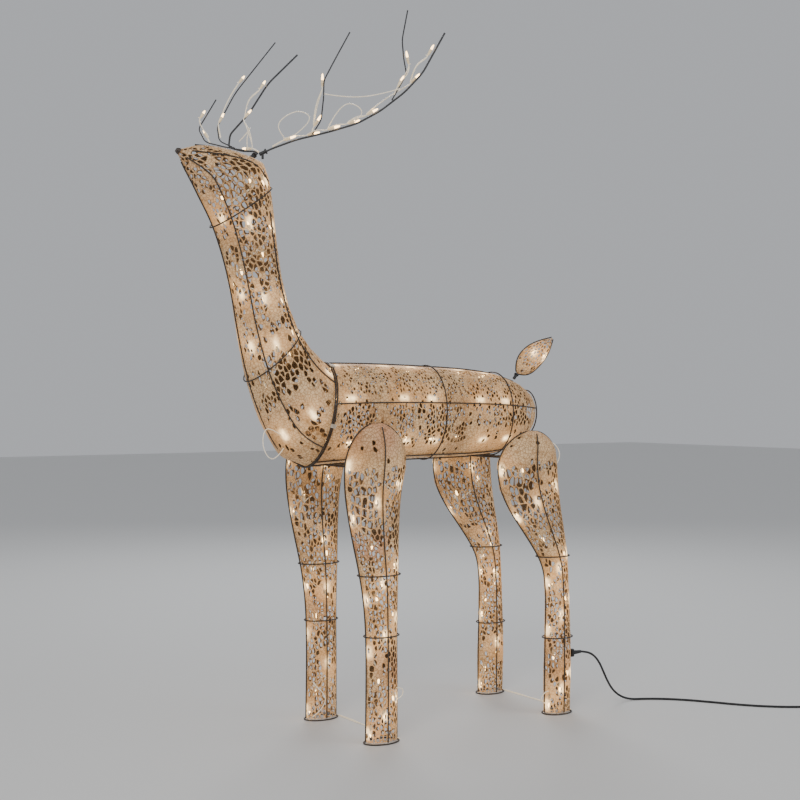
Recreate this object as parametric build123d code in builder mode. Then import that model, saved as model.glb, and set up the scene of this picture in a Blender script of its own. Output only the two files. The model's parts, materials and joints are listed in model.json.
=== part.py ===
"""Light-up yard reindeer: wire-frame pods skinned with a spun web, strung with warm white lamps.

Millimetres, +Z up. The deer faces -Y and its left side is +X. The origin is on the ground,
below the middle of the deer's overall box (the supply lead is left out of that box).
"""
from build123d import *
import math
import os
from collections import namedtuple

os.makedirs("parts", exist_ok=True)

# ---------------------------------------------------------------- driving dimensions
Y_SHIFT = 157.4          # moves the stance centre so that the overall box is centred
FRAME_WIRE_R = 1.5       # frame wire, 3 mm
RING_WIRE_R = 2.0        # the two rings at the neck joint, 4 mm
SKIN_WALL = 1.0          # thickness of the spun web skin
SKIN_INSET = 3.0         # the skin hangs this far inside the sections' rims
WIRE_GAP = 2.1           # a rib wire's middle, outside the rims
WIRE_BEND_SHARE = 0.25   # share of a wire's runs that its bends take up
TOUCH = 0.02             # spot-welded rods stand this far apart, edge to edge
LEG_X = 125.0            # middle of a leg pod, from the deer's centre plane
STRING_WIRE_R = 0.9      # light-string wire
LAMP_DEPTH = 5.0         # lamp axis below the inside of the skin
HUSK_R = 3.2
HUSK_L = 11.0
LENS_R = 2.5
LENS_L = 13.0
LEAD_R = 2.5             # supply lead, 5 mm
BEAM_R = 2.0             # antler beam wire
TINE_R = 1.4             # antler tine wire
STEM_R = 2.0             # part of the beam that plugs into the head socket
CLIP_GAP = 0.3           # slack of a clip's open slot round its wire

Station = namedtuple("Station", "centre along half_along across half_across")


def at(x, y, z):
    """A point given from the stance centre, in the part's own frame."""
    return Vector(x, y + Y_SHIFT, z)


def sagittal_station(top, bottom, half_width):
    """Section of a pod on the centre plane, from its upper and lower outline points (y, z)."""
    a = at(0, *top)
    b = at(0, *bottom)
    return Station((a + b) / 2, (a - b).normalized(), (a - b).length / 2, Vector(1, 0, 0), half_width)


def leg_station(side, z, centre_y, half_y, half_x):
    """Level section of a leg pod; side is +1 for the deer's left, -1 for its right."""
    return Station(at(side * LEG_X, centre_y, z), Vector(0, -1, 0), half_y, Vector(side, 0, 0), half_x)


def rim_point(station, degrees, gap):
    """Point outside a section's rim; 0 degrees is along, 90 degrees is across."""
    a = math.radians(degrees)
    return (station.centre
            + station.along * ((station.half_along + gap) * math.cos(a))
            + station.across * ((station.half_across + gap) * math.sin(a)))


def section_plane(station):
    return Plane(station.centre, x_dir=station.along, z_dir=station.along.cross(station.across))


def between(s, t, f):
    """Section a fraction f of the way from s to t."""
    along = (s.along * (1 - f) + t.along * f).normalized()
    across = (s.across * (1 - f) + t.across * f).normalized()
    return Station(s.centre * (1 - f) + t.centre * f,
                   along, s.half_along * (1 - f) + t.half_along * f,
                   across, s.half_across * (1 - f) + t.half_across * f)


def along_pod(stations, f):
    """Section at a fraction f of the pod's length, measured through its sections' centres."""
    lengths = [(t.centre - s.centre).length for s, t in zip(stations, stations[1:])]
    left = f * sum(lengths)
    for s, t, length in zip(stations, stations[1:], lengths):
        if left <= length:
            return between(s, t, left / length)
        left -= length
    return stations[-1]


# ---------------------------------------------------------------- sections of the pods
NECK = [sagittal_station(*s) for s in (
    ((-304, 790), (-349, 572), 83),
    ((-322, 806), (-399, 590), 80),
    ((-342, 824), (-446, 662), 70),
    ((-368, 858), (-481, 752), 58),
    ((-390, 908), (-503, 845), 50),
    ((-407, 970), (-517, 925), 46),
    ((-417, 1035), (-534, 995), 46),
    ((-425, 1105), (-561, 1070), 48),
    ((-434, 1165), (-589, 1118), 49),
    ((-447, 1203), (-604, 1145), 46),
    ((-502, 1219), (-614, 1162), 38),
    ((-555, 1226), (-622, 1175), 28),
    ((-600, 1224), (-629, 1188), 18),
    ((-628, 1214), (-637, 1201), 8))]

TORSO = [sagittal_station(*s) for s in (
    ((-299, 790), (-344, 572), 83),
    ((-240, 791), (-262, 577), 87),
    ((-140, 790), (-150, 580), 88),
    ((-39, 787), (-45, 582), 88),
    ((60, 783), (60, 583), 87),
    ((150, 774), (146, 588), 80),
    ((212, 755), (208, 604), 64),
    ((248, 733), (246, 632), 42),
    ((266, 708), (265, 664), 18))]

TAIL = [sagittal_station(*s) for s in (
    ((222, 778), (229, 773), 4),
    ((220, 797), (248, 770), 12),
    ((233, 822), (272, 778), 17),
    ((260, 842), (303, 803), 16),
    ((296, 855), (324, 830), 10),
    ((330, 862), (334, 858), 2.5))]

FRONT_LEG_PROFILE = (    # z, middle y, half length y, half width x
    (5, -235, 38, 25), (140, -234, 37, 25), (222, -235, 37, 25), (291, -237, 40, 27),
    (349, -241, 46, 29), (435, -251, 57, 33), (516, -256, 67, 36), (570, -250, 74, 36),
    (606, -246, 71, 33), (636, -245, 55, 27), (656, -245, 32, 18), (663, -245, 14, 10))
REAR_LEG_PROFILE = (
    (5, 240, 35, 25), (90, 241, 37, 25), (173, 242, 35, 25), (263, 241, 32, 24),
    (322, 237, 33, 24), (358, 228, 40, 26), (409, 205, 55, 29), (465, 177, 72, 33),
    (515, 159, 82, 35), (570, 154, 84, 34), (602, 160, 74, 30), (622, 164, 56, 24),
    (636, 167, 33, 17), (642, 168, 14, 10))


def leg_stations(profile, side):
    return [leg_station(side, *row) for row in profile]


LEGS = {
    "front_left": leg_stations(FRONT_LEG_PROFILE, 1),
    "front_right": leg_stations(FRONT_LEG_PROFILE, -1),
    "rear_left": leg_stations(REAR_LEG_PROFILE, 1),
    "rear_right": leg_stations(REAR_LEG_PROFILE, -1)}


# ---------------------------------------------------------------- shared shapes
def bend_radius(before, corner, after, share=0.45):
    """Bend that takes up a share of the shorter of its two runs; 0.45 is the largest that fits."""
    first = corner - before
    second = after - corner
    turn = math.radians(first.get_angle(second))
    return share * min(first.length, second.length) / math.tan(turn / 2)


def without_straight_points(points, smallest_turn=1.5):
    """Drops the points at which a route does not turn."""
    kept = [points[0]]
    for i in range(1, len(points) - 1):
        turn = (points[i] - kept[-1]).get_angle(points[i + 1] - points[i])
        if turn > smallest_turn:
            kept.append(points[i])
    kept.append(points[-1])
    return kept


def route_radii(points, share=0.45):
    return [bend_radius(points[i - 1], points[i], points[i + 1], share) for i in range(1, len(points) - 1)]


def rod_solid(points, radius):
    """A round wire along straight runs joined by tangent bends."""
    points = without_straight_points(points)
    with BuildPart(mode=Mode.PRIVATE) as rod:
        with BuildLine() as route:
            if len(points) == 2:
                Line(points[0], points[1])
            else:
                FilletPolyline(*points, radius=route_radii(points, WIRE_BEND_SHARE))
        with BuildSketch(Plane(route.line @ 0, z_dir=route.line % 0)):
            Circle(radius)
        sweep()
    return rod.part


def hoop_solid(station, gap, radius):
    """A closed wire hoop round a section, its wire's middle a gap outside the rim."""
    with BuildSketch(section_plane(station), mode=Mode.PRIVATE) as outline:
        Ellipse(station.half_along + gap, station.half_across + gap)
    route = outline.sketch.face().outer_wire()
    with BuildPart(mode=Mode.PRIVATE) as hoop:
        with BuildSketch(Plane(route @ 0, z_dir=route % 0)):
            Circle(radius)
        sweep(path=route)
    return hoop.part


def pod_solid(stations, inset, split):
    """Solid lofted through a pod's sections, each shrunk by an inset, in two spans if split."""
    spans = [stations[:split + 1], stations[split:]] if split else [stations]
    with BuildPart(mode=Mode.PRIVATE) as pod:
        for span in spans:
            for station in span:
                with BuildSketch(section_plane(station)):
                    Ellipse(station.half_along - inset, station.half_across - inset)
            loft(ruled=True)
    return pod.part


def pod_skin_solid(stations, open_foot, split=0):
    """Thin shell lofted through a pod's sections; the far end is always closed."""
    outer = list(stations)
    outer[-1] = between(stations[-2], stations[-1], 0.45)
    hollow = list(outer)
    hollow[-1] = between(stations[-2], stations[-1], 0.3)
    if not open_foot:
        hollow[0] = between(stations[0], stations[1], 0.3)
    with BuildPart(mode=Mode.PRIVATE) as skin:
        add(pod_solid(outer, SKIN_INSET, split))
        add(pod_solid(hollow, SKIN_INSET + SKIN_WALL, split), mode=Mode.SUBTRACT)
    return skin.part


WELD_GAP = 1.7           # small weld beads, left out here, bridge this gap where wires cross
HOOP_GAP = WIRE_GAP + 2 * FRAME_WIRE_R + WELD_GAP       # a hoop's middle, outside the rib wires


def rib(stations, degrees, first=0, last=None, end_trim=0.0):
    """Rib wire that follows one side of a pod from section to section."""
    chosen = stations[first:last]
    points = [rim_point(s, degrees, WIRE_GAP) for s in chosen]
    if end_trim:
        points[0] = points[0] + (points[1] - points[0]).normalized() * end_trim
    return rod_solid(points, FRAME_WIRE_R)


# ---------------------------------------------------------------- lamps and their string
with BuildPart(mode=Mode.PRIVATE) as lens_shape:
    with BuildSketch(Plane.XZ):
        with BuildLine():
            Polyline((0, HUSK_L + LENS_L), (0, HUSK_L), (LENS_R, HUSK_L), (LENS_R, HUSK_L + LENS_L - LENS_R))
            CenterArc((0, HUSK_L + LENS_L - LENS_R), LENS_R, 0, 90)
        make_face()
    revolve(axis=Axis.Z)
with BuildPart(mode=Mode.PRIVATE) as husk_shape:
    Cylinder(HUSK_R, HUSK_L, align=(Align.CENTER, Align.CENTER, Align.MIN))

LAMP_INSET = SKIN_INSET + SKIN_WALL + LAMP_DEPTH                 # lamp axis, inside the rim
STRING_INSET = LAMP_INSET + HUSK_R + STRING_WIRE_R + 0.6         # string, behind the lamps


def helix_turns(columns, count, first, last):
    """Lamps stepping round a pod's columns as they run along it: (place, column, heading)."""
    turns = []
    for i in range(count):
        place = first + (last - first) * i / (count - 1)
        turns.append((place, columns[i % len(columns)], 1 if (i // len(columns)) % 2 else -1))
    return turns


def lamp_frames(stations, turns):
    """Husk base and direction of each lamp, lying along the inside of the skin."""
    frames = []
    for place, column, heading in turns:
        base = rim_point(along_pod(stations, place), column, -LAMP_INSET)
        ahead = rim_point(along_pod(stations, place + 0.02 * heading), column, -LAMP_INSET)
        frames.append((base, (ahead - base).normalized()))
    return frames


def string_solid(stations, turns):
    points = [rim_point(along_pod(stations, place), column, -STRING_INSET) for place, column, _ in turns]
    return rod_solid(points, STRING_WIRE_R)


def placed(shape, frames):
    """Copies of one shape, one on each lamp's base and along its direction."""
    with BuildPart(mode=Mode.PRIVATE) as copies:
        with Locations(*[Plane(base, z_dir=axis).location for base, axis in frames]):
            add(shape)
    return copies.part


NECK_TURNS = helix_turns((40, 100, 150, -150, -100, -40), 25, 0.05, 0.80)
TORSO_TURNS = helix_turns((12, 72, 128, -128, -72, -12), 28, 0.06, 0.85)
LEG_TURNS = helix_turns((8, 80, 142, -95), 17, 0.05, 0.89)
TAIL_TURNS = [(0.34, 60, 1), (0.40, -110, 1), (0.47, 150, 1)]

# ---------------------------------------------------------------- neck and head pod
with BuildPart() as neck_head_skin:
    add(pod_skin_solid(NECK, open_foot=True, split=2))
neck_head_skin.part.label = "neck_head_skin"

NECK_RIBS = ((0, 13), (52, 8), (128, 13), (180, 13), (-52, 8), (-128, 13))    # angle, sections it follows
CHEEK = ((12, 84), (11, 76), (10, 62), (9, 47), (8, 38))                      # section, angle
THROAT_HOOP = sagittal_station((-433, 1152), (-560, 1063), 48)


def cheek_wire(side):
    points = [rim_point(NECK[place], side * angle, WIRE_GAP) for place, angle in CHEEK]
    return rod_solid(points, FRAME_WIRE_R)


with BuildPart() as neck_head_frame:
    for angle, count in NECK_RIBS:
        add(rib(NECK, angle, last=count, end_trim=RING_WIRE_R + FRAME_WIRE_R + TOUCH))
    for side in (1, -1):
        add(cheek_wire(side))
    add(hoop_solid(NECK[3], HOOP_GAP, FRAME_WIRE_R))
    add(hoop_solid(THROAT_HOOP, HOOP_GAP + 1.0, FRAME_WIRE_R))
    add(hoop_solid(NECK[0], WIRE_GAP + TOUCH, RING_WIRE_R))
neck_head_frame.part.label = "neck_head_frame"

NOSE_TIP = NECK[-1].centre
NOSE_AXIS = Vector(0, -0.93, 0.36).normalized()
with BuildPart() as nose:
    with BuildSketch(Plane(NOSE_TIP + NOSE_AXIS * 2.0, x_dir=(1, 0, 0), z_dir=NOSE_AXIS)):
        Ellipse(9, 7)
    with BuildSketch(Plane(NOSE_TIP + NOSE_AXIS * 8.0, x_dir=(1, 0, 0), z_dir=NOSE_AXIS)):
        Ellipse(6, 4.5)
    loft()
nose.part.label = "nose"

# ---------------------------------------------------------------- torso pod
with BuildPart() as torso_skin:
    add(pod_skin_solid(TORSO, open_foot=True))
torso_skin.part.label = "torso_skin"

TORSO_RIBS = ((0, 7), (78, 8), (180, 8), (-78, 8), (155, 8), (-155, 8))      # angle, sections it follows
TORSO_HOOPS = (3, 5, 7)
with BuildPart() as torso_frame:
    for angle, count in TORSO_RIBS:
        add(rib(TORSO, angle, last=count, end_trim=RING_WIRE_R + FRAME_WIRE_R + TOUCH))
    for place in TORSO_HOOPS:
        add(hoop_solid(TORSO[place], HOOP_GAP, FRAME_WIRE_R))
    add(hoop_solid(TORSO[0], WIRE_GAP + TOUCH, RING_WIRE_R))
torso_frame.part.label = "torso_frame"

# ---------------------------------------------------------------- legs
FOOT_Z = FRAME_WIRE_R


def foot_station(stations):
    s = stations[0]
    return Station(Vector(s.centre.X, s.centre.Y, FOOT_Z), s.along, s.half_along, s.across, s.half_across)


def leg_arch(stations, low, high):
    """One wire up a side of the leg, over the top and down the other side."""
    up = [rim_point(s, low, WIRE_GAP) for s in stations]
    down = [rim_point(s, high, WIRE_GAP) for s in reversed(stations)]
    start = 2 * FRAME_WIRE_R + TOUCH
    up[0] = Vector(up[0].X, up[0].Y, start)
    down[-1] = Vector(down[-1].X, down[-1].Y, start)
    return rod_solid(up + down, FRAME_WIRE_R)


def leg_side_wire(stations, degrees):
    """Middle wire of a leg's outer or inner face, from the foot to just below the arch."""
    points = [rim_point(s, degrees, WIRE_GAP) for s in stations[:-1]]
    points[0] = Vector(points[0].X, points[0].Y, 2 * FRAME_WIRE_R + TOUCH)
    return rod_solid(points, FRAME_WIRE_R)


HOOP_PLACES = {"front": (2, 4), "rear": (2, 5)}
leg_skins = {}
leg_frames = {}
for name, stations in LEGS.items():
    end = name.split("_")[0]
    with BuildPart() as leg_skin:
        add(pod_skin_solid(stations, open_foot=True))
    leg_skin.part.label = "leg_skin_" + name
    leg_skins[name] = leg_skin.part
    with BuildPart() as leg_frame:
        add(leg_arch(stations, 0, 180))
        add(leg_side_wire(stations, 90))
        add(leg_side_wire(stations, -90))
        for place in HOOP_PLACES[end]:
            add(hoop_solid(stations[place], HOOP_GAP, FRAME_WIRE_R))
        add(hoop_solid(foot_station(stations), WIRE_GAP, FRAME_WIRE_R))
    leg_frame.part.label = "leg_frame_" + name
    leg_frames[name] = leg_frame.part

# ---------------------------------------------------------------- tail
with BuildPart() as tail_skin:
    add(pod_skin_solid(TAIL, open_foot=False))
tail_skin.part.label = "tail_skin"

with BuildPart() as tail_frame:
    add(rib(TAIL, 0, first=1, last=-1))
    add(rib(TAIL, 180, first=1, last=-1))
tail_frame.part.label = "tail_frame"

# ---------------------------------------------------------------- leg hangers under the belly
BAR_R = 2.0              # cross bars under the belly
RAIL_R = 1.5             # short rail on each leg's inner face
RAIL_HALF = 28.0
BAR_SPREAD = 20.0        # each pair of bars stands this far before and behind the legs' middle
CLIP_HALF_Y = 4.0
LEG_MIDDLE_Y = {"front": -250, "rear": 154}
RAIL_X = LEG_X - 36 - WIRE_GAP - FRAME_WIRE_R - RAIL_R - TOUCH
REAR_RAIL_SHIFT = 2.0    # the rear leg's inner face is 2 mm slimmer at its rail


def rail_x(end):
    return RAIL_X + (REAR_RAIL_SHIFT if end == "rear" else 0)


def belly_z(y):
    """Lowest point of the torso's belly rib at a distance along the body."""
    lows = [rim_point(s, 180, WIRE_GAP) for s in TORSO]
    for p, q in zip(lows, lows[1:]):
        if p.Y <= y <= q.Y:
            return p.Z + (q.Z - p.Z) * (y - p.Y) / (q.Y - p.Y) - FRAME_WIRE_R
    return lows[-1].Z


def bar_z(end):
    """Height of an end's cross bars: the lower of their two places touches the belly rib."""
    middle = LEG_MIDDLE_Y[end] + Y_SHIFT
    return min(belly_z(middle - BAR_SPREAD), belly_z(middle + BAR_SPREAD)) - BAR_R - TOUCH - 0.3


def clip_solid(end, side, y):
    """Moulded hook on a cross bar's end, with a slot open downwards for the leg's rail."""
    x = rail_x(end)
    low_x = x - 12
    high_x = x + RAIL_R + CLIP_GAP + 1.6
    z = bar_z(end)
    with BuildPart(mode=Mode.PRIVATE) as clip:
        with Locations(((low_x + high_x) / 2 * side, y, z)):
            Box(high_x - low_x, 2 * CLIP_HALF_Y, 10)
        fillet(clip.edges().filter_by(Axis.Y), 1.2)
        with Locations((x * side, y, z - 5)):
            Box(2 * (RAIL_R + CLIP_GAP), 2 * CLIP_HALF_Y, 2 * (5 + RAIL_R + CLIP_GAP), mode=Mode.SUBTRACT)
        with Locations(Plane(((low_x + 3.5) * side, y, z), z_dir=(side, 0, 0)).location):
            Cylinder(BAR_R + TOUCH, 7.2, mode=Mode.SUBTRACT)
    return clip.part


with BuildPart() as belly_bars:
    for end in LEG_MIDDLE_Y:
        for step in (-BAR_SPREAD, BAR_SPREAD):
            y = LEG_MIDDLE_Y[end] + Y_SHIFT + step
            with Locations(Plane((0, y, bar_z(end)), z_dir=(1, 0, 0)).location):
                Cylinder(BAR_R, 2 * (rail_x(end) - 12 + 6.9))
belly_bars.part.label = "belly_bars"

with BuildPart() as leg_clips:
    for end in LEG_MIDDLE_Y:
        for side in (1, -1):
            for step in (-BAR_SPREAD, BAR_SPREAD):
                add(clip_solid(end, side, LEG_MIDDLE_Y[end] + Y_SHIFT + step))
leg_clips.part.label = "leg_clips"

leg_rails = {}
for end in LEG_MIDDLE_Y:
    with BuildPart() as rails:
        for side in (1, -1):
            place = (rail_x(end) * side, LEG_MIDDLE_Y[end] + Y_SHIFT, bar_z(end))
            with Locations(Plane(place, z_dir=(0, 1, 0)).location):
                Cylinder(RAIL_R, 2 * RAIL_HALF)
    rails.part.label = "leg_rails_" + end
    leg_rails[end] = rails.part

# ---------------------------------------------------------------- clips round the neck joint
NECK_CLIP_ANGLES = (25, 102, -25, -102)
RING_SPACING = (NECK[0].centre - TORSO[0].centre).dot(-section_plane(TORSO[0]).z_dir)
NECK_AXIS = -section_plane(TORSO[0]).z_dir


def ring_plane(station, degrees, gap):
    """Plane at a ring's wire: x outwards, y along the neck's pull, z along the wire."""
    before = rim_point(station, degrees - 1, gap)
    after = rim_point(station, degrees + 1, gap)
    outwards = (after - before).cross(NECK_AXIS).normalized()
    place = rim_point(station, degrees, gap)
    if outwards.dot(place - station.centre) < 0:
        outwards = -outwards
    return Plane(place, x_dir=outwards, z_dir=outwards.cross(NECK_AXIS))


def neck_clip_solid(degrees):
    """Snap clip pushed over the torso's ring, with a lip over the neck's ring."""
    low = -1.6
    high = 4.6
    back = -4.2
    front = RING_SPACING + RING_WIRE_R + 1.4
    slot = RING_WIRE_R + CLIP_GAP
    with BuildPart(mode=Mode.PRIVATE) as clip:
        with BuildSketch(ring_plane(TORSO[0], degrees, WIRE_GAP + TOUCH)):
            with Locations(((low + high) / 2, (front + back) / 2)):
                Rectangle(high - low, front - back)
            Circle(slot, mode=Mode.SUBTRACT)
            with Locations((low / 2 - 0.5, 0)):
                Rectangle(-low + 1, 2 * slot, mode=Mode.SUBTRACT)
            with Locations(((low + slot) / 2 - 0.5, (RING_SPACING - slot + front + 1) / 2)):
                Rectangle(slot - low + 1, front + 1 - (RING_SPACING - slot), mode=Mode.SUBTRACT)
        extrude(amount=4, both=True)
    return clip.part


with BuildPart() as neck_clips:
    for angle in NECK_CLIP_ANGLES:
        add(neck_clip_solid(angle))
neck_clips.part.label = "neck_clips"

# ---------------------------------------------------------------- tail stem and socket
TAIL_AXIS = Vector(0, 0.62, 0.785).normalized()
TAIL_MOUTH = TAIL[0].centre - TAIL_AXIS * 3.0
TAIL_STEM_R = 2.0
SOCKET_WALL = 1.6
SOCKET_SLACK = 0.06

with BuildPart() as tail_stem:
    with Locations(Plane(TAIL_MOUTH - TAIL_AXIS * 12, z_dir=TAIL_AXIS).location):
        Cylinder(TAIL_STEM_R, 14.9, align=(Align.CENTER, Align.CENTER, Align.MIN))
tail_stem.part.label = "tail_stem"


def socket_solid(place, axis, bore, length):
    """Tube that a stem plugs into, with a collar at its mouth and a closed bottom."""
    with BuildPart(mode=Mode.PRIVATE) as socket:
        with Locations(Plane(place, z_dir=axis).location):
            Cylinder(bore + SOCKET_WALL, length, align=(Align.CENTER, Align.CENTER, Align.MAX))
        with Locations(Plane(place - axis * 1.5, z_dir=axis).location):
            Cylinder(bore + SOCKET_WALL + 2.0, 3)
        with Locations(Plane(place, z_dir=axis).location):
            Cylinder(bore, length - 1.5, align=(Align.CENTER, Align.CENTER, Align.MAX), mode=Mode.SUBTRACT)
    return socket.part


with BuildPart() as tail_socket:
    add(socket_solid(TAIL_MOUTH, TAIL_AXIS, TAIL_STEM_R + SOCKET_SLACK, 14))
tail_socket.part.label = "tail_socket"

# ---------------------------------------------------------------- antlers
STEM_IN = 14.0           # length of beam inside its socket
SOCKET_DEPTH = 16.5
POST_R = 2.5
LEFT_MOUTH = at(27, -452, 1223)
RIGHT_MOUTH = at(-27, -452, 1223)
LEFT_STEM = Vector(0.42, 0.80, 0.43).normalized()
RIGHT_STEM = Vector(-0.42, 0.80, 0.43).normalized()


def beam_route(mouth, stem, rest):
    """Straight out of the socket, then through the hand-bent points."""
    return [mouth - stem * STEM_IN, mouth + stem * 14] + [at(*p) for p in rest]


def tine_route(beam, run, rest):
    """A tine welded on the middle of one of the beam's runs."""
    middle = (beam[run] + beam[run + 1]) / 2
    course = (beam[run + 1] - beam[run]).normalized()
    towards = at(*rest[0]) - middle
    side = (towards - course * towards.dot(course)).normalized()
    return [middle + side * (BEAM_R + 0.75 * TINE_R + TOUCH)] + [at(*p) for p in rest]


LEFT_BEAM = beam_route(LEFT_MOUTH, LEFT_STEM, (
    (62, -402, 1246), (100, -346, 1262), (130, -296, 1280), (152, -254, 1307),
    (172, -208, 1347), (188, -174, 1388), (203.5, -129, 1474)))
LEFT_BROW = tine_route(LEFT_BEAM, 2, (
    (98, -364, 1284), (122, -372, 1326), (135, -379, 1356), (148, -362, 1396), (165, -336, 1453)))
LEFT_CROWN = tine_route(LEFT_BEAM, 5, (
    (176, -206, 1384), (185, -219, 1412), (191, -227, 1448), (204, -222, 1506)))
RIGHT_BEAM = beam_route(RIGHT_MOUTH, RIGHT_STEM, (
    (-52, -440, 1236), (-82, -452, 1240), (-108, -472, 1250), (-121, -462, 1281),
    (-130, -412, 1334), (-150, -356, 1409), (-190, -260, 1495)))
RIGHT_BROW = tine_route(RIGHT_BEAM, 2, (
    (-82, -488, 1244), (-104, -528, 1254), (-136, -529, 1288), (-160, -491, 1337), (-170, -472, 1363)))
RIGHT_CROWN = tine_route(RIGHT_BEAM, 3, (
    (-112, -492, 1262), (-126, -490, 1295), (-142, -440, 1376), (-204, -309, 1519)))

ANTLERS = {
    "left": (LEFT_MOUTH, LEFT_STEM, LEFT_BEAM, (LEFT_BROW, LEFT_CROWN)),
    "right": (RIGHT_MOUTH, RIGHT_STEM, RIGHT_BEAM, (RIGHT_BROW, RIGHT_CROWN))}
# wire of the antler (0 beam, 1 brow tine, 2 crown tine), distance along it as a fraction, turn about it
ANTLER_LAMPS = {
    "left": ((0, 0.12, 40), (0, 0.22, -50), (0, 0.31, 60), (0, 0.40, -40), (0, 0.49, 50), (0, 0.74, -60),
             (0, 0.88, 0), (1, 0.08, -20), (1, 0.46, 20), (2, 0.16, 70), (2, 0.44, -50)),
    "right": ((0, 0.14, 40), (0, 0.45, 60), (0, 0.66, -40), (1, 0.44, 60), (1, 0.72, -50), (2, 0.22, 50),
              (2, 0.56, -60))}
LAMP_STAND_OFF = BEAM_R + HUSK_R + 3.0
STRING_STAND_OFF = LAMP_STAND_OFF + HUSK_R + STRING_WIRE_R + 5.0
STRING_STARTS = (0.10, 0.02, 0.02)     # least fraction at which the string meets the beam and each tine


def along_route(points, fraction):
    """Place and course at a fraction of a route's length."""
    lengths = [(q - p).length for p, q in zip(points, points[1:])]
    left = fraction * sum(lengths)
    for p, q, length in zip(points, points[1:], lengths):
        if left <= length:
            return p + (q - p) * (left / length), (q - p).normalized()
        left -= length
    return points[-1], (points[-1] - points[-2]).normalized()


def beside_route(points, fraction, turn, distance):
    """Point beside a wire, turned about the wire from straight up, and the wire's course there."""
    place, course = along_route(points, fraction)
    up = (Vector(0, 0, 1) - course * course.Z).normalized()
    over = course.cross(up)
    a = math.radians(turn)
    return place + (up * math.cos(a) + over * math.sin(a)) * distance, course


antler_frames = {}
antler_husks = {}
antler_lenses = {}
antler_strings = {}
for name, (mouth, stem, beam, tines) in ANTLERS.items():
    wires = (beam,) + tines
    lamps = [beside_route(wires[w], f, turn, LAMP_STAND_OFF) for w, f, turn in ANTLER_LAMPS[name]]
    with BuildPart() as antler_frame:
        add(rod_solid(beam, BEAM_R))
        for tine in tines:
            add(rod_solid(tine, TINE_R))
    antler_frames[name] = antler_frame.part
    with BuildPart() as antler_string:
        for w, wire in enumerate(wires):
            turns = [(f, turn) for i, f, turn in ANTLER_LAMPS[name] if i == w]
            ends = [(max(turns[0][0] - 0.06, STRING_STARTS[w]), turns[0][1])] + turns
            points = [beside_route(wire, f, turn, STRING_STAND_OFF)[0] for f, turn in ends]
            add(rod_solid(points, STRING_WIRE_R))
    antler_strings[name] = antler_string.part
    antler_husks[name] = placed(husk_shape.part, lamps)
    antler_lenses[name] = placed(lens_shape.part, lamps)

with BuildPart() as antler_sockets:
    for mouth, stem, _, _ in ANTLERS.values():
        add(socket_solid(mouth, stem, STEM_R + SOCKET_SLACK, SOCKET_DEPTH))
        with Locations(Plane(mouth - stem * 9 - Vector(0, 0, STEM_R + 1.6)).location):
            Cylinder(POST_R, 9, align=(Align.CENTER, Align.CENTER, Align.MAX))
antler_sockets.part.label = "antler_sockets"

# ---------------------------------------------------------------- light strings of the pods
POD_STRINGS = {
    "neck": [(NECK, NECK_TURNS)],
    "torso": [(TORSO, TORSO_TURNS)],
    "front_legs": [(LEGS["front_left"], LEG_TURNS), (LEGS["front_right"], LEG_TURNS)],
    "rear_legs": [(LEGS["rear_left"], LEG_TURNS), (LEGS["rear_right"], LEG_TURNS)],
    "tail": [(TAIL, TAIL_TURNS)]}
husks = {}
lenses = {}
strings = {}
for name, pods in POD_STRINGS.items():
    lamps = [frame for stations, turns in pods for frame in lamp_frames(stations, turns)]
    husks[name] = placed(husk_shape.part, lamps)
    lenses[name] = placed(lens_shape.part, lamps)
    with BuildPart() as pod_string:
        for stations, turns in pods:
            add(string_solid(stations, turns))
    strings[name] = pod_string.part

# ---------------------------------------------------------------- jumper wires from foot to foot
JUMPER_Z = 1.4
jumpers = {}
for end, profile in (("front", FRONT_LEG_PROFILE), ("rear", REAR_LEG_PROFILE)):
    back_y = profile[0][1] + profile[0][2] + WIRE_GAP + FRAME_WIRE_R + STRING_WIRE_R + 0.2
    with BuildPart() as jumper:
        for strand in (0, 1):
            y = back_y + strand * (2 * STRING_WIRE_R + 0.1) + Y_SHIFT
            with Locations(Plane((0, y, JUMPER_Z), z_dir=(1, 0, 0)).location):
                Cylinder(STRING_WIRE_R, 2 * LEG_X)
    jumpers[end] = jumper.part

# ---------------------------------------------------------------- supply lead
EXIT_Z = 131.0
LEAD_FLOOR = LEAD_R + 0.1
RELIEF_BASE = at(LEG_X, 242 + 36 + WIRE_GAP + FRAME_WIRE_R + TOUCH + 0.5, EXIT_Z)
RELIEF_L = 30.0
with BuildPart() as lead_strain_relief:
    with Locations(RELIEF_BASE + Vector(0, 3, 0)):
        Box(11, 6, 18)
    fillet(lead_strain_relief.edges().filter_by(Axis.Y), 3)
    with Locations(Plane(RELIEF_BASE + Vector(0, 6, 0), z_dir=(0, 1, 0)).location):
        Cone(5.2, 3.4, RELIEF_L - 6, align=(Align.CENTER, Align.CENTER, Align.MIN))
lead_strain_relief.part.label = "lead_strain_relief"

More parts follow.
